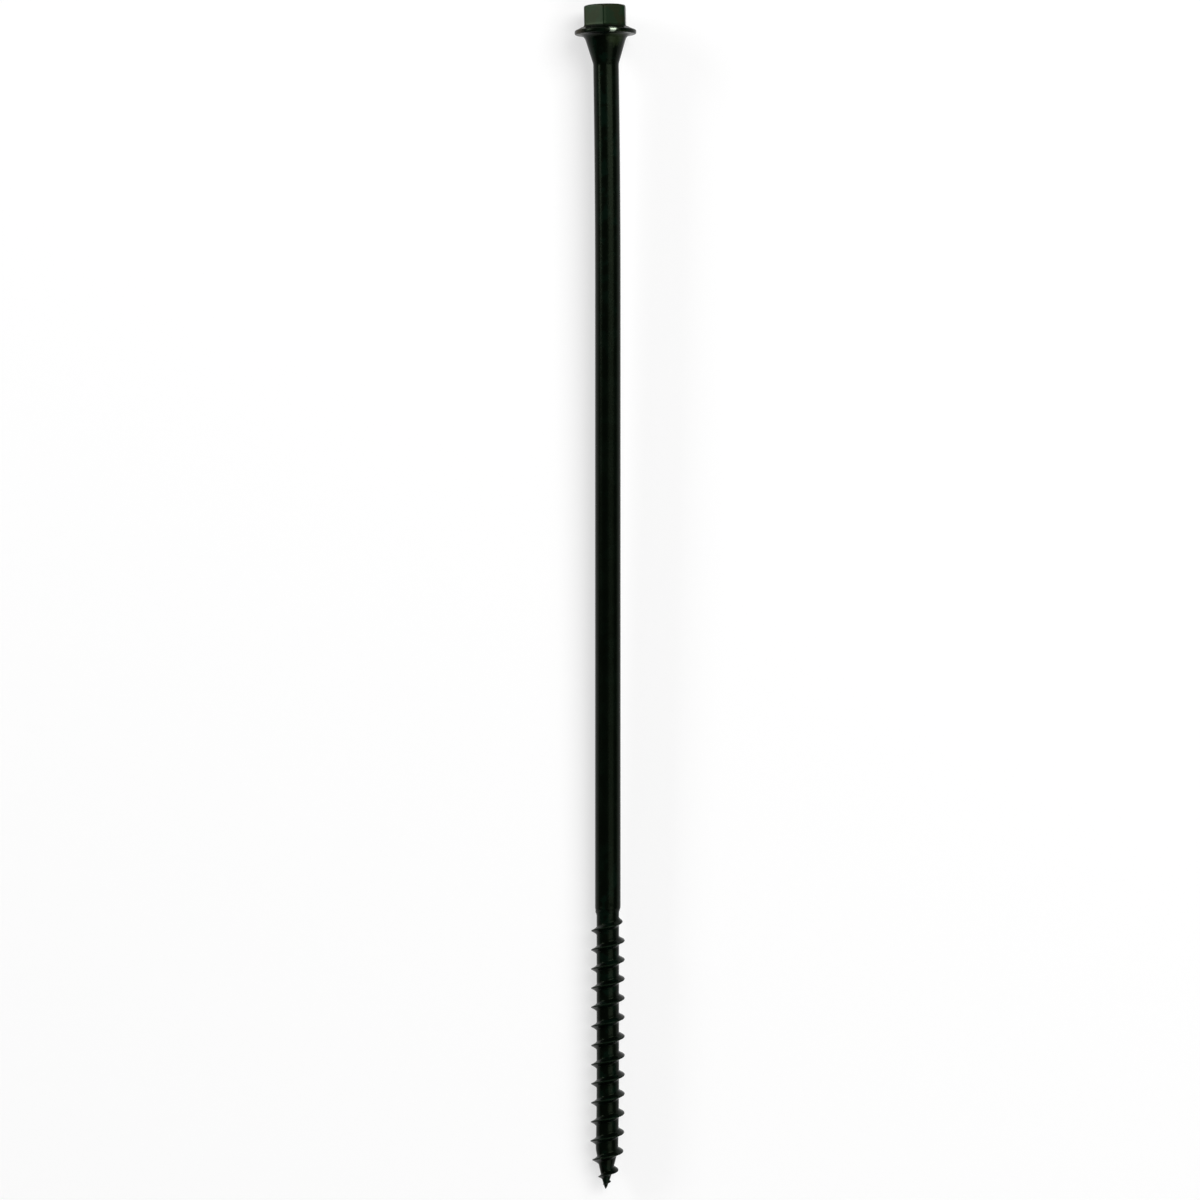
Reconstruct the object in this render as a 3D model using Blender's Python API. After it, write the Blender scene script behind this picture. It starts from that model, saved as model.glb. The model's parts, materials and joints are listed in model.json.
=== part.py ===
"""Timber screw with a hexagon flange head, at rest on its side.

The screw is one piece of steel: the head is cold-forged on a length of wire, and the
thread is rolled into the other end. The mesh is one closed skin made of rings around the
X axis, with the bearing face under the flange at X = 0 and the tip at +X. The thread is
part of that skin: one profile that follows a helix from the shank to the tip.
"""

from math import atan2, cos, exp, pi, radians, sin, sqrt, tan

import bmesh
import bpy
from mathutils import Euler, Vector

# Lengths along the axis, in metres. The screw's length is measured under the flange.
SCREW_LENGTH = 0.2257
THREAD_LENGTH = 0.0552
POINT_LENGTH = 0.0078
HEAD_HEIGHT = 0.0057
NECK_LENGTH = 0.0057

# Diameters of the shank, the thread and the neck, where its cone meets the flange.
SHANK_DIAMETER = 0.0050
THREAD_DIAMETER = 0.0066
ROOT_DIAMETER = 0.0044
NECK_DIAMETER = 0.00845

# Hexagon: width across flats, rounded corners and rounded top edge.
HEX_ACROSS_FLATS = 0.0080
HEX_CORNER_RADIUS = 0.0004
HEX_TOP_RADIUS = 0.0012
HEX_FOOT_FILLET = 0.0006
HEX_TURN = radians(-3.1)
DISH_LAND = 0.0014
DISH_DEPTH = 0.0003

# Flange: thickness at the rim and where the hexagon stands on it.
FLANGE_DIAMETER = 0.0121
FLANGE_RIM = 0.0009
FLANGE_FOOT = 0.0013
NECK_FILLET = 0.0015

# Thread: a ridge with hollow flanks that climbs as a right-hand helix. It grows over its
# run-out turns, and the helical skin leads in on the plain shank before it.
PITCH = 0.00375
RIDGE_BASE = 0.0017
CREST_WIDTH = 0.00014
SHOULDER_LENGTH = 0.0009
RUN_OUT_TURNS = 1.7
LEAD_TURNS = 1
START_ANGLE = radians(90)
POINT_POWER = 0.75

# Columns of faces around the axis, a multiple of six so that each flat gets as many.
SIDES = 30
FILLET_STEPS = 3
COATING_COLOUR = (0.012, 0.018, 0.013, 1.0)

SIXTH = pi / 3
TOP_END_ANGLE = radians(55)


def smooth(share):
    """Eases from 0 to 1 as the share does, and stays at 0 or 1 outside that."""
    share = min(max(share, 0), 1)
    return share**2 * (3 - 2 * share)


def column_angle(column):
    """Angle of a column from straight up, so that two columns straddle straight down."""
    return (column + 0.5) * 2 * pi / SIDES


def on_circle(x, radius, angle):
    return Vector((x, radius * sin(angle), radius * cos(angle)))


def ring_through(bm, x, points):
    """Ring of vertices through (angle, radius) points, all at one distance along the axis."""
    return [bm.verts.new(on_circle(x, radius, angle)) for angle, radius in points]


def round_ring(bm, x, radius):
    return ring_through(bm, x, [(column_angle(c), radius) for c in range(SIDES)])


def hexagon_points():
    """Outline of the hexagon, as (angle, radius): flats joined by short corner facets."""
    per_flat = SIDES // 6
    apothem = HEX_ACROSS_FLATS / 2
    half_flat = (apothem - HEX_CORNER_RADIUS) * tan(SIXTH / 2)
    points = []
    for flat in range(6):
        facing = HEX_TURN + SIXTH * (flat + 0.5)
        for step in range(per_flat):
            along = half_flat * (2 * step / (per_flat - 1) - 1)
            points.append((atan2(along, apothem) + facing, sqrt(apothem**2 + along**2)))
    return points


def bridge(bm, ring, next_ring):
    """Faces between two rings, the next one being nearer the tip."""
    for a in range(SIDES):
        b = (a + 1) % SIDES
        bm.faces.new((ring[a], ring[b], next_ring[b], next_ring[a]))


def bridge_all(bm, rings):
    for ring, next_ring in zip(rings, rings[1:]):
        bridge(bm, ring, next_ring)


def top_drop(radius, top_radius):
    """How far the rounded top edge has dropped at this radius."""
    reach = max(radius - top_radius, 0)
    return HEX_TOP_RADIUS - sqrt(HEX_TOP_RADIUS**2 - reach**2)


def head_rings(bm):
    """Dish, land, rounded top edge, flats and foot fillet of the hexagon."""
    outline = hexagon_points()
    corner_radius = max(radius for _, radius in outline)
    top_radius = corner_radius - HEX_TOP_RADIUS * sin(TOP_END_ANGLE)
    dish_radius = top_radius - DISH_LAND
    top = -HEAD_HEIGHT
    floor = top + DISH_DEPTH
    rings = []
    for x, radius in ((floor, dish_radius * 0.6), (top, dish_radius), (top, top_radius)):
        rings.append(ring_through(bm, x, [(angle, radius) for angle, _ in outline]))
    for share in (0.5, 1.0):
        ring = []
        for angle, radius in outline:
            here = top_radius + (radius - top_radius) * share
            x = top + top_drop(here, top_radius)
            ring.append(bm.verts.new(on_circle(x, here, angle)))
        rings.append(ring)
    for step in range(FILLET_STEPS + 1):
        turn = pi / 2 * step / FILLET_STEPS
        x = -FLANGE_FOOT - HEX_FOOT_FILLET * (1 - sin(turn))
        out = HEX_FOOT_FILLET * (1 - cos(turn))
        rings.append(ring_through(bm, x, [(a, r + out) for a, r in outline]))
    rim_inside = (FLANGE_DIAMETER - FLANGE_RIM) / 2
    middle = (corner_radius + HEX_FOOT_FILLET + rim_inside) / 2
    x = -(FLANGE_FOOT + FLANGE_RIM) / 2
    rings.append(ring_through(bm, x, [(angle, middle) for angle, _ in outline]))
    centre = bm.verts.new((floor, 0, 0))
    for a in range(SIDES):
        bm.faces.new((centre, rings[0][(a + 1) % SIDES], rings[0][a]))
    return rings


def flange_and_neck_rings(bm):
    """Turned section from the rim, over the bearing face, to the end of the neck."""
    rim_radius = FLANGE_RIM / 2
    rings = []
    for step in range(FILLET_STEPS + 2):
        turn = pi * step / (FILLET_STEPS + 1)
        radius = FLANGE_DIAMETER / 2 - rim_radius * (1 - sin(turn))
        rings.append(round_ring(bm, -rim_radius * (1 + cos(turn)), radius))
    shank_radius = SHANK_DIAMETER / 2
    lean = atan2(NECK_DIAMETER / 2 - shank_radius, NECK_LENGTH)
    arc = pi / 2 - lean
    arc_centre = NECK_DIAMETER / 2 + NECK_FILLET * tan(arc / 2)
    for step in range(FILLET_STEPS + 1):
        turn = arc * step / FILLET_STEPS
        x = NECK_FILLET * (1 - cos(turn))
        rings.append(round_ring(bm, x, arc_centre - NECK_FILLET * sin(turn)))
    rings.append(round_ring(bm, NECK_LENGTH, shank_radius))
    return rings


def thread_profile():
    """One pitch of the thread: (share of the pitch, share of the ridge's height)."""
    base = RIDGE_BASE / PITCH
    crest = CREST_WIDTH / PITCH
    flank = (base - crest) / 2
    return [
        (0.0, 0.0),
        (flank * 0.5, 0.3),
        (flank, 1.0),
        (flank + crest, 1.0),
        (flank * 1.5 + crest, 0.3),
        (base, 0.0),
        ((1 + base) / 2, 0.0),
        (1.0, 0.0),
    ]


def helix_x(turns, start):
    """Distance along the axis after this many turns. The last turns close up at the tip."""
    straight = start + PITCH * turns
    closing = POINT_LENGTH / 2
    past = straight - (SCREW_LENGTH - closing)
    if past <= 0:
        return straight
    return SCREW_LENGTH - closing * exp(-past / closing)


def blank_radius(x):
    """Radius under the thread, which steps down from the shank to the root."""
    step = smooth((x - SCREW_LENGTH + THREAD_LENGTH) / SHOULDER_LENGTH)
    return (SHANK_DIAMETER + (ROOT_DIAMETER - SHANK_DIAMETER) * step) / 2


def thread_radius(turns, x, height):
    """Radius of the skin. The ridge grows out of the shank and fades before the tip."""
    blank = blank_radius(x)
    left = min((SCREW_LENGTH - x) / POINT_LENGTH, 1)
    grown = smooth((turns - LEAD_TURNS) / RUN_OUT_TURNS) * smooth(2 * left)
    ridge = (THREAD_DIAMETER / 2 - blank) * grown
    return blank * left**POINT_POWER + ridge * height


def thread_skin(bm, start_ring, start):
    """Helical skin from the last plain ring of the shank to the tip."""
    profile = thread_profile()
    rows = len(profile) - 1
    closing = POINT_LENGTH / 2
    turns = (SCREW_LENGTH - closing - start) / PITCH + 2 * closing / PITCH
    columns = round(SIDES * turns)
    first = round(START_ANGLE / (2 * pi) * SIDES - 0.5)
    grid = []
    for j in range(columns + 1):
        column = []
        for k, (share, height) in enumerate(profile):
            if k == rows and j <= columns - SIDES:
                continue
            turned = j / SIDES + share
            x = helix_x(turned, start)
            radius = thread_radius(j / SIDES, x, height)
            column.append(bm.verts.new(on_circle(x, radius, column_angle(first - j))))
        grid.append(column)
    for j in range(columns - SIDES + 1):
        grid[j].append(grid[j + SIDES][0])
    for j in range(columns):
        for k in range(rows):
            here, there = grid[j], grid[j + 1]
            bm.faces.new((here[k], here[k + 1], there[k + 1], there[k]))
    ring = [start_ring[(first - j) % SIDES] for j in range(SIDES + 1)]
    for j in range(SIDES - 1):
        bm.faces.new((ring[j], grid[j][0], grid[j + 1][0], ring[j + 1]))
    seam = [ring[SIDES]] + grid[0]
    corner = grid[SIDES - 1][0]
    bm.faces.new((ring[SIDES - 1], corner, seam[0]))
    for upper, lower in zip(seam, seam[1:]):
        bm.faces.new((corner, lower, upper))
    tip = bm.verts.new((SCREW_LENGTH, 0, 0))
    last = columns - SIDES
    for j in range(last + 1, columns):
        bm.faces.new((tip, grid[j + 1][rows], grid[j][rows]))
    corner = grid[last + 1][rows]
    end = grid[columns] + [tip]
    for upper, lower in zip(end, end[1:]):
        bm.faces.new((corner, upper, lower))


def screw_mesh():
    bm = bmesh.new()
    rings = head_rings(bm) + flange_and_neck_rings(bm)
    start = SCREW_LENGTH - THREAD_LENGTH - PITCH * (LEAD_TURNS + 0.5)
    rings.append(round_ring(bm, start - PITCH / SIDES, SHANK_DIAMETER / 2))
    bridge_all(bm, rings)
    thread_skin(bm, rings[-1], start)
    bmesh.ops.recalc_face_normals(bm, faces=bm.faces)
    mesh = bpy.data.meshes.new("timber_screw")
    bm.to_mesh(mesh)
    bm.free()
    mesh.shade_smooth()
    mesh.set_sharp_from_angle(angle=radians(35))
    return mesh


def resting_tilt(points):
    """Turn about Y at which the flange's rim and the thread touch level ground together."""
    rim = [p for p in points if p.x < 0]
    thread = [p for p in points if p.x > SCREW_LENGTH - THREAD_LENGTH]
    tilt = 0
    for _ in range(4):
        low_rim = min(rim, key=lambda p: p.z * cos(tilt) - p.x * sin(tilt))
        low_thread = min(thread, key=lambda p: p.z * cos(tilt) - p.x * sin(tilt))
        tilt = atan2(low_thread.z - low_rim.z, low_thread.x - low_rim.x)
    return tilt


def lay_down(screw):
    """Rests the screw on Z = 0 with the middle of its box over the origin."""
    points = [v.co for v in screw.data.vertices]
    screw.rotation_euler = Euler((0, resting_tilt(points), 0))
    turned = [screw.rotation_euler.to_matrix() @ p for p in points]
    low = Vector(min(p[i] for p in turned) for i in range(3))
    high = Vector(max(p[i] for p in turned) for i in range(3))
    screw.location = (-(low.x + high.x) / 2, -(low.y + high.y) / 2, -low.z)


def coating():
    """Dark green-black organic coating over zinc, with a satin shine."""
    material = bpy.data.materials.new("green_black_coating")
    material.use_nodes = True
    shader = material.node_tree.nodes["Principled BSDF"]
    shader.inputs["Base Color"].default_value = COATING_COLOUR
    shader.inputs["Roughness"].default_value = 0.35
    shader.inputs["Metallic"].default_value = 0.0
    return material


def main():
    for old in list(bpy.data.objects):
        bpy.data.objects.remove(old, do_unlink=True)
    screw = bpy.data.objects.new("timber_screw", screw_mesh())
    screw.data.materials.append(coating())
    bpy.context.scene.collection.objects.link(screw)
    lay_down(screw)


main()
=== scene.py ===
# %% [markdown]
# # A long timber screw with a hexagon flange head
#
# The real screw is one piece of steel wire. One end was struck in dies, which pushed up the
# hexagon, the flange and the flared neck. The other end was rolled between two flat dies,
# which pressed the thread and the point into it. Then the screw was dipped in a dark
# green-black coating. This lesson starts with the thread, because the shank can be drawn
# out of it like wire, and then makes the head, joins the two and coats them. Every length
# in it is in metres.

import json
from math import atan2, cos, hypot, pi, radians, sin, sqrt, tan

import bmesh
import bpy
import numpy as np
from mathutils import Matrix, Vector

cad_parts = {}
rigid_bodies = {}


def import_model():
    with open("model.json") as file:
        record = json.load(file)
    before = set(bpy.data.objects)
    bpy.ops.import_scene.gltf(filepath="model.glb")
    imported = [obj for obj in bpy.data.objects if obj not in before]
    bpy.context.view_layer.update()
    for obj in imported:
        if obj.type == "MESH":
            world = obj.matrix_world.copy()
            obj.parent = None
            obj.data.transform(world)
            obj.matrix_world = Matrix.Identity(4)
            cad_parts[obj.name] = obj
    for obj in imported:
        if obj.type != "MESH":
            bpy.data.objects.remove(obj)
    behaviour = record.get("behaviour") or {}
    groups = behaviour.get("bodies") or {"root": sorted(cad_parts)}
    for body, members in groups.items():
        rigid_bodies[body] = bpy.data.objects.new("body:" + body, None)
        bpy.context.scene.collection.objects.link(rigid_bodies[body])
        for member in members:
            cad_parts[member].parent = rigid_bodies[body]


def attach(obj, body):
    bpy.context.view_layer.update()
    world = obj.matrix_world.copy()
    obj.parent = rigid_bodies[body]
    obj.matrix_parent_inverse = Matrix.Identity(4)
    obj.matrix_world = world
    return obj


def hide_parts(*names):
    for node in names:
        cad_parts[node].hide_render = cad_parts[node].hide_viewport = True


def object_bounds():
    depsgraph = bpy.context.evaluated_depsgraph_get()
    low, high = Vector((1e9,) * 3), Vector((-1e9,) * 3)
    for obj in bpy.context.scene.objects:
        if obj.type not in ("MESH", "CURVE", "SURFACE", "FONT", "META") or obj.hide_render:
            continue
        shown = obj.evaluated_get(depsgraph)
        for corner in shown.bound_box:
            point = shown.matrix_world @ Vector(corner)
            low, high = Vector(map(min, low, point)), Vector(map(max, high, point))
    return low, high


for starter in list(bpy.data.objects):
    bpy.data.objects.remove(starter, do_unlink=True)
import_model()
cad_low, cad_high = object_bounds()
print("packed box in millimetres:", [round(side * 1000, 2) for side in cad_high - cad_low])

# %% [markdown]
# ## Sizes
#
# A screw is measured from the bearing face under its flange, because that face stops at the
# timber and everything beyond it goes in. So the axis is X, the bearing face is at X = 0,
# the tip is at +X and the head is at -X. The sizes are those of the solid model. This
# lesson only adds what is too fine for that model, or what belongs to this one screw:
# rounder sections, softer edges, the slight bend of the wire, and the coating.

# %% Sizes of the wire and its thread
SCREW_LENGTH = 0.2257
THREAD_LENGTH = 0.0552
POINT_LENGTH = 0.0078

SHANK_RADIUS = 0.0050 / 2
ROOT_RADIUS = 0.0044 / 2
THREAD_RADIUS = 0.0066 / 2

PITCH = 0.00375
RIDGE_BASE = 0.0017
CREST_WIDTH = 0.00014
COLUMNS = 96
print("screw length in millimetres:", round(SCREW_LENGTH * 1000, 1))

# %% [markdown]
# ## The thread
#
# A rolled thread is a ridge that climbs round the wire. It could be cut from a thick bar
# with a boolean, but then no edge would follow the crest and the light would break up on
# it. So this one starts as a flat sheet that is one pitch wide and many turns long. The
# sheet is wound round the axis like a bandage, so that the edge of each turn meets the edge
# of the turn before. Its rows of edges then run along the ridge, as the steel's grain does.
#
# Across the sheet the section rises over a hollow flank to a narrow rounded crest, falls
# again, and then runs flat along the root. The rows are set closest where the section turns
# most, which is on the crest.

# %% The section across one pitch
FLANK_ROWS = 9
CREST_ROWS = 4
ROOT_ROWS = 4
FLANK_POWER = 1.74
CREST_DEGREES = 70

ridge_height = THREAD_RADIUS - ROOT_RADIUS
crest_round = CREST_WIDTH / 2
crest_angles = np.radians(np.linspace(-CREST_DEGREES, CREST_DEGREES, CREST_ROWS + 1))
crest_heights = 1 - crest_round * (1 - np.cos(crest_angles)) / ridge_height
flank_shares = np.linspace(0, crest_heights[0] ** (1 / FLANK_POWER), FLANK_ROWS + 1)
flank_heights = flank_shares**FLANK_POWER
flank_width = (RIDGE_BASE - CREST_WIDTH) / 2
root_shares = np.linspace(0, 1, ROOT_ROWS + 1)[1:]

section_places = np.concatenate((
    flank_width * flank_shares,
    RIDGE_BASE / 2 + crest_round * np.sin(crest_angles),
    RIDGE_BASE - flank_width * flank_shares[::-1],
    RIDGE_BASE + (PITCH - RIDGE_BASE) * root_shares,
))
section_heights = np.concatenate((
    flank_heights,
    crest_heights,
    flank_heights[::-1],
    0 * root_shares,
))
sheet_rows = len(section_places) - 1
print("rows across one pitch:", sheet_rows)

# %% [markdown]
# The last turns close up towards the tip, as they do where the dies pinch the wire into a
# point, so they get ever closer to the tip without passing it. The wire itself steps down
# over the shoulder from the shank to the root of the thread. The ridge grows out of the
# shank over its first turns, and it fades again over the last half of the point.

# %% Where the skin of the thread lies
SHOULDER_LENGTH = 0.0009
RUN_OUT_TURNS = 1.7
POINT_POWER = 0.75
FADING_SHARE = 0.5
CLOSING = POINT_LENGTH / 2
THREAD_START = SCREW_LENGTH - THREAD_LENGTH - PITCH / 2


def smooth(share):
    """Eases from 0 to 1 as the share does, and stays at 0 or 1 outside that."""
    share = np.clip(share, 0, 1)
    return share**2 * (3 - 2 * share)


def helix_x(turned):
    """Distance along the axis after this many turns."""
    straight = THREAD_START + PITCH * turned
    past = np.maximum(straight - (SCREW_LENGTH - CLOSING), 0)
    return np.minimum(straight, SCREW_LENGTH - CLOSING * np.exp(-past / CLOSING))


def skin_radius(turns, x, height):
    """Radius of the wire with its ridge, at a height between the root and the crest."""
    shoulder = smooth((x - SCREW_LENGTH + THREAD_LENGTH) / SHOULDER_LENGTH)
    wire = SHANK_RADIUS + (ROOT_RADIUS - SHANK_RADIUS) * shoulder
    left = np.clip((SCREW_LENGTH - x) / POINT_LENGTH, 0, 1)
    ridge = (THREAD_RADIUS - wire) * smooth(turns / RUN_OUT_TURNS) * smooth(left / FADING_SHARE)
    return wire * left**POINT_POWER + ridge * height


full_turns = (SCREW_LENGTH - CLOSING - THREAD_START) / PITCH
print("turns of full pitch:", round(full_turns, 2))

# %% [markdown]
# One more turn of the sheet leads in on the plain shank, so that its open edge lies on a
# cylinder. Its rows start evenly spaced there, and settle into the places of the section
# before the thread begins. At the other end the winding goes on until the turns have
# closed up to about a twentieth of their width, which leaves only a speck of the tip open.

# %% Winding the sheet
LEAD_TURNS = 1
CLOSING_REACH = 2.9


def thread_sheet():
    """A flat sheet wound round the axis, each turn against the one before."""
    turns = full_turns + CLOSING_REACH * CLOSING / PITCH
    columns = round((LEAD_TURNS + turns) * COLUMNS)
    bpy.ops.mesh.primitive_grid_add(x_subdivisions=columns, y_subdivisions=sheet_rows, size=1)
    sheet = bpy.context.object
    flat = np.empty(len(sheet.data.vertices) * 3)
    sheet.data.vertices.foreach_get("co", flat)
    flat = flat.reshape(-1, 3) + 0.5
    wound = np.round(flat[:, 0] * columns) / COLUMNS - LEAD_TURNS
    row = np.round(flat[:, 1] * sheet_rows).astype(int)
    even = row / sheet_rows
    settled = smooth(wound + LEAD_TURNS)
    x = helix_x(wound + even + (section_places[row] / PITCH - even) * settled)
    radius = skin_radius(wound, x, section_heights[row])
    angle = pi / 2 - 2 * pi * wound
    placed = np.stack((x, radius * np.sin(angle), radius * np.cos(angle)), axis=1)
    sheet.data.vertices.foreach_set("co", placed.ravel())
    sheet.data.update()
    return sheet


thread = thread_sheet()
print("faces in the wound thread:", len(thread.data.polygons))

# %% [markdown]
# ## Welding the turns
#
# An operator in edit mode acts on whatever is selected, as the mouse would. So each step
# first clears the selection and then picks what it needs by its place. Here everything is
# picked, and a merge by distance joins the edge of each turn to the edge of the next.

# %% One skin out of many turns
WELD = 0.5e-6


def start_edit(piece):
    """Opens one piece in edit mode with nothing selected."""
    bpy.ops.object.select_all(action="DESELECT")
    piece.select_set(True)
    bpy.context.view_layer.objects.active = piece
    bpy.ops.object.mode_set(mode="EDIT")
    bpy.ops.mesh.select_mode(type="EDGE")
    bpy.ops.mesh.select_all(action="DESELECT")


def end_edit():
    """Leaves edit mode, which writes the edited mesh back to its piece."""
    bpy.ops.object.mode_set(mode="OBJECT")


start_edit(thread)
bpy.ops.mesh.select_all(action="SELECT")
bpy.ops.mesh.remove_doubles(threshold=WELD)
bpy.ops.mesh.select_all(action="DESELECT")
print("vertices after the weld:", len(bmesh.from_edit_mesh(thread.data).verts))

# %% [markdown]
# ## The point
#
# The skin is still open at both ends. At the point its open edge is filled with one face.
# Poke turns that face into a fan of triangles round a new vertex, and the vertex is pulled
# out to the tip. The real point ends as sharply, because the dies pinch it off there.

# %% Closing the point
def pick_edges(piece, wanted):
    """Selects the edges that pass a test."""
    bm = bmesh.from_edit_mesh(piece.data)
    for edge in bm.edges:
        if wanted(edge):
            edge.select_set(True)
    bmesh.update_edit_mesh(piece.data)


def pick_open_rim(piece, low, high):
    """Selects the open edges that lie between two distances along the axis."""
    def open_and_inside(edge):
        inside = all(low <= vertex.co.x <= high for vertex in edge.verts)
        return inside and len(edge.link_faces) < 2

    pick_edges(piece, open_and_inside)


pick_open_rim(thread, SCREW_LENGTH - CLOSING, SCREW_LENGTH)
bpy.ops.mesh.edge_face_add()
bpy.ops.mesh.select_mode(type="FACE")
bpy.ops.mesh.poke()
bm = bmesh.from_edit_mesh(thread.data)
middle = min(
    (vertex for vertex in bm.verts if vertex.select),
    key=lambda vertex: hypot(vertex.co.y, vertex.co.z),
)
middle.co = (SCREW_LENGTH, 0, 0)
print("triangles round the tip:", len(middle.link_faces))
bmesh.update_edit_mesh(thread.data)
bpy.ops.mesh.select_mode(type="EDGE")
bpy.ops.mesh.select_all(action="DESELECT")

# %% [markdown]
# ## A true ring for the shank
#
# At the shank the open edge has two stretches. One goes round the wire and climbs a pitch
# in its turn, and one runs straight along the wire, where the sheet began. Only the first
# is extruded, and pressed flat across the axis, which makes it a true ring. That leaves one
# long edge beside the straight stretch. It is cut into as many pieces, and the two are
# welded, so that no triangle without area is left there to spoil the shading.

# %% Pressing the open end flat
shank_end = THREAD_START - LEAD_TURNS * PITCH


def open_lead(edge):
    """Whether an edge is on the open rim of the turn that leads in."""
    return len(edge.link_faces) < 2 and edge.verts[0].co.x < THREAD_START + PITCH


def goes_round(edge):
    """Whether an edge runs round the axis and not along it."""
    first, second = (vertex.co for vertex in edge.verts)
    return hypot(first.y - second.y, first.z - second.z) > WELD


pick_edges(thread, lambda edge: open_lead(edge) and goes_round(edge))
bpy.ops.mesh.extrude_edges_move()
bpy.ops.transform.resize(value=(0, 1, 1), center_override=(shank_end, 0, 0))
bpy.ops.mesh.remove_doubles(threshold=WELD, use_unselected=True)
bpy.ops.mesh.select_all(action="DESELECT")
pick_edges(thread, lambda edge: open_lead(edge) and edge.calc_length() > PITCH / 2)
bpy.ops.mesh.subdivide(number_cuts=sheet_rows - 1)
bpy.ops.mesh.select_all(action="DESELECT")
pick_edges(thread, lambda edge: open_lead(edge) and not goes_round(edge))
bpy.ops.mesh.remove_doubles(threshold=WELD)
bpy.ops.mesh.select_all(action="DESELECT")
bm = bmesh.from_edit_mesh(thread.data)
print("edges in the open ring:", sum(len(edge.link_faces) < 2 for edge in bm.edges))

# %% [markdown]
# ## The shank
#
# The plain shank is drawn out of that ring towards the head. A ring that was just extruded
# stays selected, so a whole length can be grown ring by ring without picking anything
# again. A straight shank could do with one long step, but this one is bent later and needs
# the rings for that. It stops where the cone of the neck begins, less a short blend.

# %% Drawing out the shank
NECK_LENGTH = 0.0057
NECK_BLEND = 0.0004
SHANK_RINGS = 40


def next_ring(shift, factor=1.0):
    """Extrudes the selected ring, slides it along the axis and widens it."""
    bpy.ops.mesh.extrude_edges_move(TRANSFORM_OT_translate={"value": (shift, 0, 0)})
    bpy.ops.transform.resize(value=(1, factor, factor), center_override=(0, 0, 0))


shank_start = NECK_LENGTH + NECK_BLEND
pick_open_rim(thread, shank_end - WELD, shank_end + WELD)
for _ in range(SHANK_RINGS):
    next_ring((shank_start - shank_end) / SHANK_RINGS)
end_edit()
print("faces with the shank:", len(thread.data.polygons))

# %% [markdown]
# ## The flared neck and the flange
#
# These are round, so they are made as on a lathe: a ring the size of the shank is extruded
# and widened along a section. Spin could turn that section too, but grown rings keep their
# vertices in line with those of the shank, so that the two can be welded. The section is
# the cone of the neck, a fillet that is tangent to both the cone and the bearing face, the
# flat ring that presses on the timber, and the flange's rim, whose two edges the dies left
# slightly rounded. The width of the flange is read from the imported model, because a screw
# that lies down is as high as its flange is wide.

# %% The turned section, as (distance along the axis, radius)
NECK_RADIUS = 0.00845 / 2
NECK_FILLET = 0.0015
FLANGE_RADIUS = (cad_high.z - cad_low.z) / 2
FLANGE_RIM = 0.0009
RIM_ROUND = 0.0003
RIM_STEPS = 6
ARC_STEPS = 8


def neck_section():
    """Points from the shank to the bearing face."""
    cone = atan2(NECK_RADIUS - SHANK_RADIUS, NECK_LENGTH)
    points = []
    for step in range(ARC_STEPS + 1):
        share = 1 - step / ARC_STEPS
        x = NECK_LENGTH + NECK_BLEND * (2 * share - 1)
        points.append((x, SHANK_RADIUS + NECK_BLEND * tan(cone) * (1 - share) ** 2))
    arc = pi / 2 - cone
    arc_radius = NECK_RADIUS + NECK_FILLET * tan(arc / 2)
    for step in range(ARC_STEPS + 1):
        turn = arc * (1 - step / ARC_STEPS)
        points.append((NECK_FILLET * (1 - cos(turn)), arc_radius - NECK_FILLET * sin(turn)))
    return points


def rim_section():
    """Points round the rim, from the bearing face to the top of the flange."""
    lower = []
    for step in range(RIM_STEPS + 1):
        turn = pi / 2 * step / RIM_STEPS
        lower.append((RIM_ROUND * (cos(turn) - 1), FLANGE_RADIUS - RIM_ROUND * (1 - sin(turn))))
    upper = [(-FLANGE_RIM - x, radius) for x, radius in reversed(lower)]
    return lower + upper


section = neck_section() + rim_section()
print("points in the section:", len(section))

# %% Turning the neck and the flange
bpy.ops.mesh.primitive_circle_add(
    vertices=COLUMNS,
    radius=section[0][1],
    location=(section[0][0], 0, 0),
    rotation=(0, pi / 2, 0),
)
collar = bpy.context.object
bpy.ops.object.transform_apply(location=True, rotation=True, scale=True)
start_edit(collar)
bpy.ops.mesh.select_all(action="SELECT")
for (x, radius), (next_x, next_radius) in zip(section, section[1:]):
    next_ring(next_x - x, next_radius / radius)
end_edit()
print("faces in the neck and flange:", len(collar.data.polygons))

# %% [markdown]
# ## The hexagon
#
# A forged hexagon has soft corners. It could be a six-sided cylinder, but that one has too
# few vertices to meet the round flange. So it starts as a circle with six vertices. A
# vertex bevel rounds the corners, and cuts along the flats bring the outline to as many
# vertices as the flange has, so that the two can be bridged face to face.

# %% The outline of the hexagon
HEX_SIDES = 6
HEX_APOTHEM = 0.0080 / 2
HEX_CORNER_ROUND = 0.0004
HEX_FOOT_FILLET = 0.0006
FLANGE_FOOT = 0.0013
CORNER_SEGMENTS = 6
FLAT_CUTS = COLUMNS // HEX_SIDES - CORNER_SEGMENTS - 1

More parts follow.
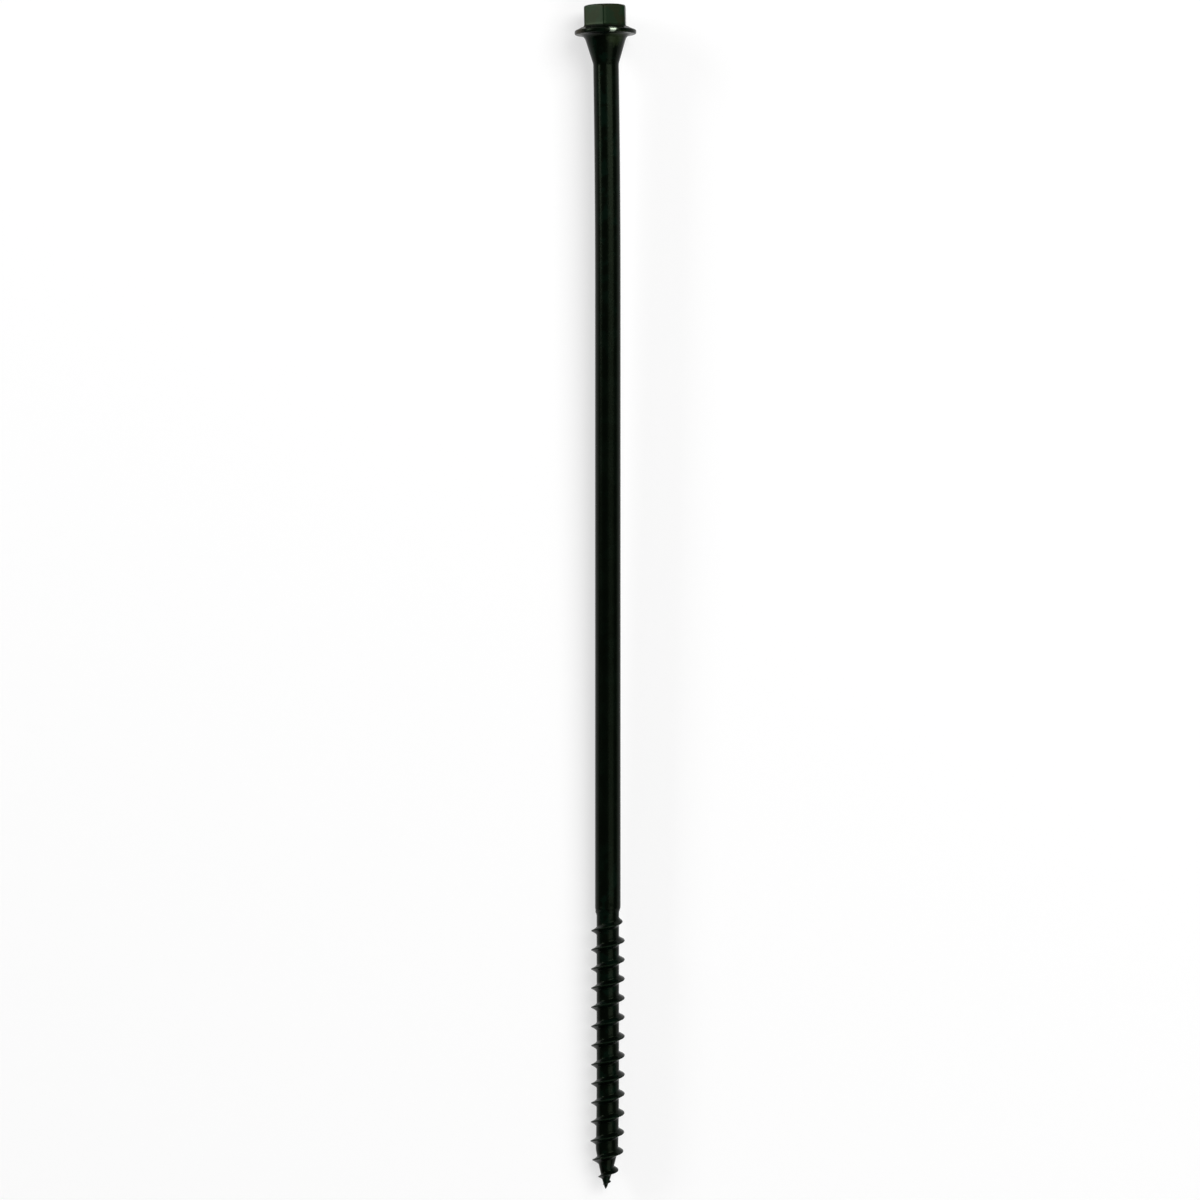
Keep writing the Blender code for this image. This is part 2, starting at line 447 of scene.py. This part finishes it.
hex_foot = -(FLANGE_FOOT + HEX_FOOT_FILLET)
bpy.ops.mesh.primitive_circle_add(
    vertices=HEX_SIDES,
    radius=HEX_APOTHEM / cos(pi / HEX_SIDES),
    fill_type="NGON",
    location=(hex_foot, 0, 0),
    rotation=(0, pi / 2, 0),
)
hexagon = bpy.context.object
bpy.ops.object.transform_apply(location=True, rotation=True, scale=True)
start_edit(hexagon)
bpy.ops.mesh.select_all(action="SELECT")
bpy.ops.mesh.bevel(
    offset=HEX_CORNER_ROUND * tan(pi / HEX_SIDES),
    segments=CORNER_SEGMENTS,
    affect="VERTICES",
)
bpy.ops.mesh.select_all(action="DESELECT")
pick_edges(hexagon, lambda edge: edge.calc_length() > HEX_APOTHEM / 2)
bpy.ops.mesh.subdivide(number_cuts=FLAT_CUTS)
bm = bmesh.from_edit_mesh(hexagon.data)
corner_radius = max(hypot(vertex.co.y, vertex.co.z) for vertex in bm.verts)
print("vertices round the hexagon:", len(bm.verts))
print("corner radius in millimetres:", round(corner_radius * 1000, 3))
end_edit()

# %% [markdown]
# At its foot the hexagon runs out into the flange through a fillet, because the die that
# forms it has a rounded edge there. The face of the outline is deleted, and its ring of
# edges is extruded down to the flange and spread out along a quarter circle.

# %% The foot fillet
def reshape(piece, rule):
    """Moves each selected vertex to the x and the radius that a rule works out from its own."""
    bm = bmesh.from_edit_mesh(piece.data)
    for vertex in bm.verts:
        if vertex.select:
            radius = hypot(vertex.co.y, vertex.co.z)
            x, wanted = rule(vertex.co.x, radius)
            vertex.co = (x, vertex.co.y * wanted / radius, vertex.co.z * wanted / radius)
    bmesh.update_edit_mesh(piece.data)


start_edit(hexagon)
bpy.ops.mesh.select_all(action="SELECT")
bpy.ops.mesh.delete(type="ONLY_FACE")
bpy.ops.mesh.select_all(action="SELECT")
fillet_turn = pi / 2 / ARC_STEPS
for step in range(ARC_STEPS):
    down = HEX_FOOT_FILLET * (sin((step + 1) * fillet_turn) - sin(step * fillet_turn))
    spread = HEX_FOOT_FILLET * (cos(step * fillet_turn) - cos((step + 1) * fillet_turn))
    next_ring(down)
    reshape(hexagon, lambda x, radius: (x, radius + spread))
bpy.ops.mesh.select_all(action="DESELECT")
print("faces in the fillet:", len(bmesh.from_edit_mesh(hexagon.data).faces))

# %% [markdown]
# From the same outline the flats grow up to the top edge, which the die rounded as if it
# had been turned. So the rule below lets a vertex drop by how far out it stands, on an arc
# that starts at the flat top, and the corners drop further than the flats. Each flat has a
# short row of faces at its foot and at its top, which keeps the shading of the flat level.

# %% The flats and the rounded top edge
HEAD_HEIGHT = 0.0057
HEX_TOP_ROUND = 0.0012
TOP_END_ANGLE = radians(55)
TOP_STEPS = 7
FLAT_MARGIN = 0.00035

hex_top = -HEAD_HEIGHT
land_radius = corner_radius - HEX_TOP_ROUND * sin(TOP_END_ANGLE)


def top_drop(radius):
    """How far the rounded top edge has dropped at this radius."""
    reach = max(radius - land_radius, 0)
    return HEX_TOP_ROUND - sqrt(HEX_TOP_ROUND**2 - reach**2)


pick_open_rim(hexagon, hex_foot - WELD, hex_foot + WELD)
next_ring(-FLAT_MARGIN)
next_ring(0)
reshape(hexagon, lambda x, radius: (hex_top + top_drop(radius) + FLAT_MARGIN, radius))
next_ring(-FLAT_MARGIN)
for step in range(TOP_STEPS):
    pull = (TOP_STEPS - step - 1) / (TOP_STEPS - step)
    next_ring(0)
    reshape(hexagon, lambda x, radius: (x, land_radius + (radius - land_radius) * pull))
    reshape(hexagon, lambda x, radius: (hex_top + top_drop(radius), radius))
print("drop at the corners in millimetres:", round(top_drop(corner_radius) * 1000, 3))

# %% [markdown]
# Inside the top edge lies a flat land, and inside that a shallow dish, which the punch
# leaves in such heads. The ring at the top edge is drawn in over the land, and then sunk
# ring by ring into the dish, which reaches its depth halfway to the middle.

# %% The land and the dish
DISH_LAND = 0.0014
DISH_DEPTH = 0.0003
DISH_RINGS = (0.9, 0.8, 0.7, 0.55, 0.35, 0.15)
DISH_WALL = 0.5

dish_radius = land_radius - DISH_LAND
mid_land = (land_radius + dish_radius) / 2
next_ring(0, mid_land / land_radius)
next_ring(0, dish_radius / mid_land)
for share in DISH_RINGS:
    next_ring(0)
    dish_x = hex_top + DISH_DEPTH * smooth((1 - share) / DISH_WALL)
    reshape(hexagon, lambda x, radius: (dish_x, dish_radius * share))
bpy.ops.mesh.edge_face_add()
bpy.ops.mesh.select_mode(type="FACE")
bpy.ops.mesh.poke()
bpy.ops.mesh.select_mode(type="EDGE")
print("dish across in millimetres:", round(dish_radius * 2000, 2))

# %% [markdown]
# No edge of a forging is quite sharp, and the coating softens it further. The edges where
# two faces meet at a clear angle are picked by that angle and bevelled a little, after the
# normals are made consistent, because the angle is measured between those.

# %% Softening the edges
SHARP_ANGLE = radians(25)
EDGE_SOFTNESS = 0.00013
SOFT_SEGMENTS = 3

bpy.ops.mesh.select_all(action="SELECT")
bpy.ops.mesh.normals_make_consistent(inside=False)
bpy.ops.mesh.select_all(action="DESELECT")
bpy.ops.mesh.edges_select_sharp(sharpness=SHARP_ANGLE)
bpy.ops.mesh.bevel(offset=EDGE_SOFTNESS, segments=SOFT_SEGMENTS, affect="EDGES")
end_edit()
print("faces in the hexagon:", len(hexagon.data.polygons))

# %% [markdown]
# ## One piece of steel
#
# On the real screw the hexagon and the flange are one forging. The hexagon is turned to
# where it stands on this screw, and the open ring at its foot is bridged to the open ring
# of the flange. The bridge is the sloped top of the flange.

# %% Bridging the hexagon and the flange
HEX_TURN = radians(-3.1)
BRIDGE_CUTS = 3


def join(piece, other):
    """Joins another piece into this one."""
    bpy.ops.object.select_all(action="DESELECT")
    other.select_set(True)
    piece.select_set(True)
    bpy.context.view_layer.objects.active = piece
    bpy.ops.object.join()


hexagon.rotation_euler.x = -(HEX_TURN + pi / HEX_SIDES)
join(collar, hexagon)
start_edit(collar)
pick_open_rim(collar, -FLANGE_FOOT - WELD, -FLANGE_RIM + WELD)
bpy.ops.mesh.bridge_edge_loops(number_cuts=BRIDGE_CUTS)
end_edit()
print("faces in the head:", len(collar.data.polygons))

# %% [markdown]
# The neck meets the shank ring on ring, so a merge by distance is enough there. After that
# the screw is one closed skin, and its faces are turned to point outwards. An edge with
# only one face would be a hole, so those are counted.

# %% Joining the head to the shank
screw = thread
join(screw, collar)
screw.name = "coated_screw"
screw.data.name = "coated_screw"
start_edit(screw)
bpy.ops.mesh.select_all(action="SELECT")
bpy.ops.mesh.remove_doubles(threshold=WELD)
bpy.ops.mesh.normals_make_consistent(inside=False)
bpy.ops.mesh.select_all(action="DESELECT")
bpy.ops.mesh.select_non_manifold()
open_edges = screw.data.total_edge_sel
end_edit()
print("faces in the screw:", len(screw.data.polygons), "open edges:", open_edges)

# %% [markdown]
# ## The bend of a long wire
#
# A wire this long and thin is never quite straight. On this screw the last 50 mm before the
# head bow to one side by half a millimetre, which also tips the flange by about a degree,
# and the last 22 mm before the tip lean the same way. The bow is sideways, so it changes
# nothing in how the screw lies. A modifier could bend the mesh round one arc, but here the
# curve starts softly at one place, so the vertices are moved by a formula. A cross-section
# turns with the bend: it moves sideways, and its two sides move forwards and back.

# %% Bowing the head end and leaning the point
BOW_LENGTH = 0.050
BOW = 0.00047
LEAN_LENGTH = 0.022
LEAN = 0.00043


def points_of(piece):
    """The vertices of a piece as an array with one row each."""
    points = np.empty(len(piece.data.vertices) * 3)
    piece.data.vertices.foreach_get("co", points)
    return points.reshape(-1, 3)


def place_points(piece, points):
    """Writes an array with one row for each vertex back to the piece."""
    piece.data.vertices.foreach_set("co", points.ravel())
    piece.data.update()


points = points_of(screw)
into_bow = np.maximum(1 - points[:, 0] / BOW_LENGTH, 0)
into_lean = np.maximum(1 - (SCREW_LENGTH - points[:, 0]) / LEAN_LENGTH, 0)
sideways = BOW - BOW * into_bow**2 - LEAN * into_lean**2
slope = 2 * BOW * into_bow / BOW_LENGTH - 2 * LEAN * into_lean / LEAN_LENGTH
points[:, 0] -= points[:, 1] * slope
points[:, 1] += sideways
place_points(screw, points)
print("sideways run of the axis in millimetres:", round(np.ptp(sideways) * 1000, 2))

# %% [markdown]
# ## Lying at rest
#
# A loose screw lies on the rim of its flange and on the crests of its thread, so its tip
# ends lower than its head. The tilt is found by turning the screw until the lowest point of
# each is level. The turn is applied to the mesh, so that the finished piece has its place
# in its vertices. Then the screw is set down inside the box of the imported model, and drawn
# in along its length by the little that its bent head would stick out of that box.

# %% Laying the screw down
TILT_ROUNDS = 4

points = points_of(screw)
rim = points[points[:, 0] < 0]
crests = points[points[:, 0] > SCREW_LENGTH - THREAD_LENGTH]
tilt = 0.0
for _ in range(TILT_ROUNDS):
    low_rim = rim[np.argmin(rim[:, 2] * cos(tilt) - rim[:, 0] * sin(tilt))]
    low_crest = crests[np.argmin(crests[:, 2] * cos(tilt) - crests[:, 0] * sin(tilt))]
    tilt = atan2(low_crest[2] - low_rim[2], low_crest[0] - low_rim[0])
screw.rotation_euler = (0, tilt, 0)
bpy.ops.object.transform_apply(location=True, rotation=True, scale=True)
points = points_of(screw)
length = np.ptp(points[:, 0])
points[:, 0] *= min(1, (cad_high.x - cad_low.x) / length)
points[:, 0] += cad_high.x - points[:, 0].max()
points[:, 1] += cad_low.y - points[:, 1].min()
points[:, 2] -= points[:, 2].min()
place_points(screw, points)
screw.data.shade_smooth()
print("tilt in degrees:", round(tilt * 180 / pi, 3))
print("drawn in by, in millimetres:", round((length - np.ptp(points[:, 0])) * 1000, 3))

# %% [markdown]
# ## Where the coating is thin
#
# A dipped coating pulls away from sharp edges and pools in hollows, and shade falls in the hollows.
# To paint by that, each vertex is given a number that says how much its surroundings fall away from
# it: the thread crests, the rim and the corners of the hexagon score high, and the root of the
# thread and the fillets score below zero, where the colour is painted darker as shade. A material
# could find edges by itself with Pointiness, but only while it is rendered. An attribute stays with
# the mesh and can be measured here.

# %% Bulge of the surface at each vertex
def bulge_of(piece):
    """Mean curvature at the vertices, per metre: above zero on edges, below it in hollows."""
    points = points_of(piece)
    normals = np.empty(len(piece.data.vertices) * 3)
    piece.data.vertices.foreach_get("normal", normals)
    normals = normals.reshape(-1, 3)
    ends = np.empty(len(piece.data.edges) * 2, dtype=int)
    piece.data.edges.foreach_get("vertices", ends)
    ends = ends.reshape(-1, 2)
    run = points[ends[:, 1]] - points[ends[:, 0]]
    span = np.maximum((run**2).sum(axis=1), WELD**2)
    total = np.zeros(len(points))
    count = np.zeros(len(points))
    for end, way in ((0, 1), (1, -1)):
        here = ends[:, end]
        fall = -2 * way * (run * normals[here]).sum(axis=1) / span
        np.add.at(total, here, fall)
        np.add.at(count, here, 1)
    return total / count


vertex_bulges = bulge_of(screw)
bulge_layer = screw.data.attributes.new("bulge", "FLOAT", "POINT")
bulge_layer.data.foreach_set("value", vertex_bulges.astype(np.float32))
print("bulge per metre, low, middle, high:", np.percentile(vertex_bulges, (1, 50, 99)).round())

# %% [markdown]
# ## Shader maths as plain maths
#
# A material is a sum of simple patterns. Writing the node for every plus and times would
# hide that, so one small class holds a socket, and adding or multiplying two of them adds
# the Math node. Every other node comes from its method `node`. A Mix node has sockets for
# numbers, vectors and colours side by side, so the ones for colours are named by number.

# %% A wire that can be added and multiplied
MIX_FACTOR = 0
MIX_FIRST_COLOUR = 6
MIX_SECOND_COLOUR = 7
MIXED_COLOUR = 2


class Wire:
    """An output socket of a material, which takes part in sums and products."""

    def __init__(self, tree, socket=None):
        self.tree = tree
        self.socket = socket

    def node(self, kind, inputs, output=0, **settings):
        """Adds a node, sets it up, and then fills its sockets with values or wires."""
        made = self.tree.nodes.new(kind)
        for name, value in settings.items():
            setattr(made, name, value)
        for name, value in inputs.items():
            if isinstance(value, Wire):
                self.tree.links.new(value.socket, made.inputs[name])
            else:
                made.inputs[name].default_value = value
        return Wire(self.tree, made.outputs[output])

    def maths(self, operation, first, second):
        """Adds the Math node of one operation."""
        return self.node("ShaderNodeMath", {0: first, 1: second}, operation=operation)

    def __add__(self, other):
        return self.maths("ADD", self, other)

    def __radd__(self, other):
        return self.maths("ADD", other, self)

    def __sub__(self, other):
        return self.maths("SUBTRACT", self, other)

    def __rsub__(self, other):
        return self.maths("SUBTRACT", other, self)

    def __mul__(self, other):
        return self.maths("MULTIPLY", self, other)

    def __rmul__(self, other):
        return self.maths("MULTIPLY", other, self)

    def between(self, low, high):
        """Rises smoothly from 0 at low to 1 at high."""
        limits = {"Value": self, "From Min": low, "From Max": high}
        return self.node("ShaderNodeMapRange", limits, interpolation_type="SMOOTHSTEP")

    def blend(self, first, second):
        """Goes from one colour to another as this wire goes from 0 to 1."""
        sockets = {MIX_FACTOR: self, MIX_FIRST_COLOUR: first, MIX_SECOND_COLOUR: second}
        return self.node("ShaderNodeMix", sockets, output=MIXED_COLOUR, data_type="RGBA")


print("wires ready:", Wire.__name__)

# %% [markdown]
# ## The green-black coating
#
# The coating is an organic paint, almost black with a little green, and satin rather than
# glossy. Close up it has a fine orange peel, slow changes where it ran as it dried, smaller
# blotches, faint lines along the shank from the drawing of the wire, and tiny specks. They
# could be painted on an unwrapped skin, but noise that is read at the place on the screw
# needs no unwrapping and shows no seam. A scale says how many waves go into a metre, and
# the lines are the same noise stretched along the wire.

# %% The patterns in the coating
PEEL_SCALE = 1700
RUNS_SCALE = 210
BLOTCH_SCALE = 420
LINES_SCALE = 2600
LINES_STRETCH = (0.03, 1, 1)
SPECKS_SCALE = 2400

coating = bpy.data.materials.new("green_black_coating")
coating.use_nodes = True
coating_tree = coating.node_tree
paint = Wire(coating_tree)
place = paint.node("ShaderNodeTexCoord", {}, output="Object")
drawn = paint.node("ShaderNodeMapping", {"Vector": place, "Scale": LINES_STRETCH})
along = paint.node("ShaderNodeSeparateXYZ", {"Vector": place}, output="X")
bulge = paint.node("ShaderNodeAttribute", {}, output="Fac", attribute_name="bulge")


def noise(where, scale, detail=2):
    """Soft noise that wavers round a half."""
    sockets = {"Vector": where, "Scale": scale, "Detail": detail}
    return paint.node("ShaderNodeTexNoise", sockets)


peel = noise(place, PEEL_SCALE)
runs = noise(place, RUNS_SCALE, detail=3)
blotch = noise(place, BLOTCH_SCALE)
lines = noise(drawn, LINES_SCALE)
grains = {"Vector": place, "Scale": SPECKS_SCALE}
speck_gap = paint.node("ShaderNodeTexVoronoi", grains, output="Distance")
print("width of a wave of the orange peel in millimetres:", round(1000 / PEEL_SCALE, 2))

# %% [markdown]
# Next come the places where these patterns show. The coating is thin where the surface bulges, and
# where it is hollow it pools and is painted darker as shade, by the number that each vertex
# carries. Some of the specks are matt. The hexagon is mottled green and olive, from where it leaves
# the flange.
# The teal patches are clearest near the head and on the thread, and fainter between.

# %% Where the coating is thin, pooled and painted with shade, matt or patchy
THIN_BULGE = (900, 5000)
THIN_STEADY = 0.55
THIN_RUNS = 0.6
HOLLOW_BULGE = (200, 1600)
SPECK_EDGE = (0.08, 0.22)
SPECK_PLACES = (0.45, 0.62)
FLATS_START = 0.1112
FLATS_FULL = 0.1118
FLATS_STEADY = 0.5
FLATS_RUNS = 0.5
HEAD_STRETCH = (0.03, 0.09)
THREAD_STRETCH = (0.045, 0.062)
PATCH_EDGE = (0.50, 0.62)
PATCH_STEADY = 0.15
PATCH_AT_ENDS = 0.65

thin = bulge.between(*THIN_BULGE) * (THIN_STEADY + THIN_RUNS * runs)
# Hollows: the coating pools there and is smoother, and the colour is painted darker there as shade.
pooled_and_shaded = (-1 * bulge).between(*HOLLOW_BULGE)
matt = (1 - speck_gap.between(*SPECK_EDGE)) * peel.between(*SPECK_PLACES)
towards_head = -1 * along
flats = towards_head.between(FLATS_START, FLATS_FULL) * (FLATS_STEADY + FLATS_RUNS * runs)
ends = towards_head.between(*HEAD_STRETCH) + along.between(*THREAD_STRETCH)
patch = blotch.between(*PATCH_EDGE) * (PATCH_STEADY + PATCH_AT_ENDS * ends)
print("nodes in the coating so far:", len(coating_tree.nodes))

# %% [markdown]
# Three spots are painted on the head: a pale, partly metallic glint on the flange's rim, which is a
# painted highlight, a brown patch at the flange's left end, and a lighter olive patch on the neck
# under the glint, which is a painted reflection of light from the flange's underside. Each is a
# ball round its place, whose edge the orange peel makes ragged.

# %% The spots on the head
# Where the painted glint lies: a pale spot that paints a highlight on the flange's rim.
GLINT_PLACE = (-0.11048, 0.00134, 0.0118)
GLINT_REACH = 0.0009
# Where a brown patch lies, at the flange's left end.
BROWN_PATCH_PLACE = (-0.11045, -0.0053, 0.0088)
BROWN_PATCH_REACH = 0.0020
# Where the painted sheen lies: a lighter olive that paints light reflected from the flange's
# underside onto the neck.
SHEEN_PLACE = (-0.1092, 0.0022, 0.0097)
SHEEN_REACH = 0.0024
SPOT_CORE = 0.45
NOISE_MEAN = 0.5


def spot(centre, reach):
    """A ragged spot that is full in its core and has faded out at its reach."""
    sockets = {0: place, 1: centre}
    gap = paint.node("ShaderNodeVectorMath", sockets, output="Value", operation="DISTANCE")
    return 1 - (gap + reach * (peel - NOISE_MEAN)).between(SPOT_CORE * reach, reach)


# The painted glint, a highlight painted on the flange's rim.
painted_glint = spot(GLINT_PLACE, GLINT_REACH)
brown_patch = spot(BROWN_PATCH_PLACE, BROWN_PATCH_REACH)
# The painted sheen, a reflection painted on the neck under the flange.
painted_sheen = spot(SHEEN_PLACE, SHEEN_REACH)
print("chip across in millimetres:", GLINT_REACH * 2000)

# %% [markdown]
# The colours are laid one over the other, as they would be with a brush: each layer covers
# the one below by its own share. The body is far darker than it looks, because most of the
# light that a satin black sends back is the shine on top.

# %% The colours, from the body of the coating to the painted glint
BODY_COLOUR = (0.0008, 0.0016, 0.0008, 1)
TEAL_COLOUR = (0.0012, 0.0050, 0.0030, 1)
THIN_COLOUR = (0.006, 0.012, 0.007, 1)
# Painted shade: the darker colour in the hollows of the thread and the fillets.
HOLLOW_SHADE_COLOUR = (0.0005, 0.0010, 0.0005, 1)
GREEN_FLAT = (0.008, 0.020, 0.009, 1)
OLIVE_FLAT = (0.012, 0.015, 0.006, 1)
# The lighter olive of the painted sheen, which stands in for reflected light.
SHEEN_COLOUR = (0.014, 0.021, 0.009, 1)
BROWN_PATCH_COLOUR = (0.028, 0.022, 0.014, 1)
# The pale colour of the painted glint, which stands in for a highlight.
GLINT_COLOUR = (0.20, 0.235, 0.185, 1)
RUNS_EDGE = (0.3, 0.75)
RUNS_SHARE = 0.08
THIN_SHARE = 0.8
FLATS_EDGE = (0.44, 0.56)
SHEEN_SHARE = 0.8

layers = (
    (patch, TEAL_COLOUR),
    (RUNS_SHARE * runs.between(*RUNS_EDGE), THIN_COLOUR),
    (THIN_SHARE * thin, THIN_COLOUR),
    # Painted shade in the hollows.
    (pooled_and_shaded, HOLLOW_SHADE_COLOUR),
    (flats, blotch.between(*FLATS_EDGE).blend(GREEN_FLAT, OLIVE_FLAT)),
    (SHEEN_SHARE * painted_sheen, SHEEN_COLOUR),
    (brown_patch, BROWN_PATCH_COLOUR),
    (painted_glint, GLINT_COLOUR),
)
colour = BODY_COLOUR
for cover, layer_colour in layers:
    colour = cover.blend(colour, layer_colour)
print("layers of colour:", len(layers) + 1)

# %% [markdown]
# The shine is that of a satin paint: a little rougher where it ran, where it is thin, at the matt
# specks and on the brown patch, and smoother where it pooled. Its relief is so fine that a bump is
# enough. The low specular level and its greenish tint are the same all over, so they are set on the
# shader itself.

# %% The shine and the relief
SATIN_ROUGHNESS = 0.20
RUNS_ROUGHER = 0.08
THIN_ROUGHER = 0.05
MATT_ROUGHER = 0.10
POOLED_SMOOTHER = 0.04
BROWN_PATCH_ROUGHER = 0.12
LINES_HEIGHT = 0.5
MATT_DEPTH = 0.35
BUMP_STRENGTH = 0.35
BUMP_DISTANCE = 0.00002
# The painted glint is also made partly metallic.
GLINT_METAL = 0.8
SPECULAR_LEVEL = 0.07
SPECULAR_TINT = (0.74, 1.0, 0.62, 1)

rough = SATIN_ROUGHNESS + RUNS_ROUGHER * runs + THIN_ROUGHER * thin + MATT_ROUGHER * matt
rough = rough - POOLED_SMOOTHER * pooled_and_shaded + BROWN_PATCH_ROUGHER * brown_patch
relief = peel + LINES_HEIGHT * lines - MATT_DEPTH * matt
bumps = {"Strength": BUMP_STRENGTH, "Distance": BUMP_DISTANCE, "Height": relief}
bump = paint.node("ShaderNodeBump", bumps)

shader = coating_tree.nodes["Principled BSDF"]
shader.inputs["Specular IOR Level"].default_value = SPECULAR_LEVEL
shader.inputs["Specular Tint"].default_value = SPECULAR_TINT
varying = {"Base Color": colour, "Roughness": rough, "Metallic": GLINT_METAL * painted_glint, "Normal": bump}
for name, wire in varying.items():
    coating_tree.links.new(wire.socket, shader.inputs[name])

screw.data.materials.clear()
screw.data.materials.append(coating)
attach(screw, "root")
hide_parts("timber_screw")
print("nodes in the coating:", len(coating_tree.nodes))

# %% [markdown]
# ## A white table
#
# The photograph has a plain white ground. A loose screw lies on its side, so here the
# ground is a table with a large white sheet of paper on it, which keeps the screw's soft
# shadow. Part of its white comes from a glow of its own, which only the camera, mirrors and
# glass see. That way it looks white, and is mirrored as white in the coating, while the
# lamps stay low enough for the screw.

# %% The table
TABLE_SIZE = 8
PAPER_COLOUR = (0.97, 0.97, 0.97, 1)
GLOW_SHARE = 0.6

bpy.ops.mesh.primitive_plane_add(size=TABLE_SIZE)
table = bpy.context.object
table.name = "white_table"
paper = bpy.data.materials.new("white_paper")
paper.use_nodes = True
paper_tree = paper.node_tree
paper_shader = paper_tree.nodes["Principled BSDF"]
paper_shader.inputs["Base Color"].default_value = PAPER_COLOUR
paper_shader.inputs["Roughness"].default_value = 1
paper_shader.inputs["Specular IOR Level"].default_value = 0
table.data.materials.append(paper)

plain_paper = Wire(paper_tree, paper_shader.outputs[0])
glow = plain_paper.node("ShaderNodeEmission", {})
seen, mirrored, through = (
    plain_paper.node("ShaderNodeLightPath", {}, output=kind)
    for kind in ("Is Camera Ray", "Is Glossy Ray", "Is Transmission Ray")
)
glow_factor = GLOW_SHARE * (seen + mirrored + through)
both = plain_paper.node("ShaderNodeMixShader", {0: glow_factor, 1: plain_paper, 2: glow})
paper_tree.links.new(both.socket, paper_tree.nodes["Material Output"].inputs["Surface"])
print("table side in metres:", TABLE_SIZE)

# %% [markdown]
# ## Soft light
#
# A round bar mirrors each lamp as a streak along it, so the lamps are placed by the streaks
# that they make. The main light is a large panel up beyond the head, on the right, and a
# low narrow one on the left makes the streak on that side. A narrow panel up beyond the tip
# lights the roots of the thread. Two weak lamps further out beyond the ends light the table,
# because the shank doesn't mirror those to a camera above it, and a dim room fills the
# shadows.

# %% The lamps
AXIS_HEIGHT = 0.005
MAIN_X = -0.54
THREAD_X = 0.25
ROOM_LIGHT = 0.08


def panel(name, place, size, radiance, aim_x=0.0):
    """A flat lamp that faces a point in line with the screw, as bright as it should look."""
    length, width = size
    aim = Vector((aim_x, 0, AXIS_HEIGHT))
    lamp = bpy.data.lights.new(name, "AREA")
    lamp.shape = "RECTANGLE"
    lamp.size = length
    lamp.size_y = width
    lamp.energy = radiance * pi * length * width
    holder = bpy.data.objects.new(name, lamp)
    bpy.context.scene.collection.objects.link(holder)
    holder.location = place
    holder.rotation_mode = "QUATERNION"
    holder.rotation_quaternion = (Vector(place) - aim).to_track_quat("Z", "Y")


panel("head_end_lamp", place=(-1.3, 0.15, 1.3), size=(1.3, 1.3), radiance=0.5)
panel("tip_end_lamp", place=(1.15, 0.9, 1.25), size=(1.3, 1.3), radiance=1.7)
panel("overhead_panel", place=(MAIN_X, 0.63, 1.14), size=(0.7, 1.06), radiance=6.6, aim_x=MAIN_X)
panel("left_panel", place=(MAIN_X, -1.09, 0.48), size=(0.7, 0.25), radiance=14.0, aim_x=MAIN_X)
panel("thread_panel", place=(THREAD_X, 0.63, 1.14), size=(0.16, 1.06), radiance=3.4, aim_x=THREAD_X)

room = bpy.data.worlds.new("studio_room")
bpy.context.scene.world = room
room.use_nodes = True
background = room.node_tree.nodes["Background"]
background.inputs["Color"].default_value = (1, 1, 1, 1)
background.inputs["Strength"].default_value = ROOM_LIGHT

# %% [markdown]
# ## The camera
#
# The photograph shows the screw upright, from straight in front, with the head at the top.
# The real screw lies down, so the camera looks straight down on it, with the top of its
# picture towards the head. It stands four screw lengths away, so far that the flange is
# seen almost edge on. Two places in the photograph, in pixels, put the screw where it is in
# the picture: the column of the shank's axis, and the row of the middle of the screw.

# %% Looking straight down
PICTURE_SIDE = 1200
METRES_PER_PIXEL = 0.0001954
SHANK_PIXEL = 607.3
MIDDLE_PIXEL = 597.4
CAMERA_HEIGHT = 0.9306
SENSOR_MILLIMETRES = 36

shank_y = BOW + cad_low.y + FLANGE_RADIUS
centre_pixel = (PICTURE_SIDE - 1) / 2
bpy.ops.object.camera_add()
camera = bpy.context.object
camera.location = (
    (centre_pixel - MIDDLE_PIXEL) * METRES_PER_PIXEL,
    shank_y - (SHANK_PIXEL - centre_pixel) * METRES_PER_PIXEL,
    CAMERA_HEIGHT,
)
camera.rotation_euler = (0, 0, pi / 2)
picture_width = PICTURE_SIDE * METRES_PER_PIXEL
camera.data.sensor_width = SENSOR_MILLIMETRES
camera.data.lens = SENSOR_MILLIMETRES * (CAMERA_HEIGHT - AXIS_HEIGHT) / picture_width
bpy.context.scene.camera = camera
bpy.context.scene.view_settings.view_transform = "Standard"
print("lens in millimetres:", round(camera.data.lens, 1))
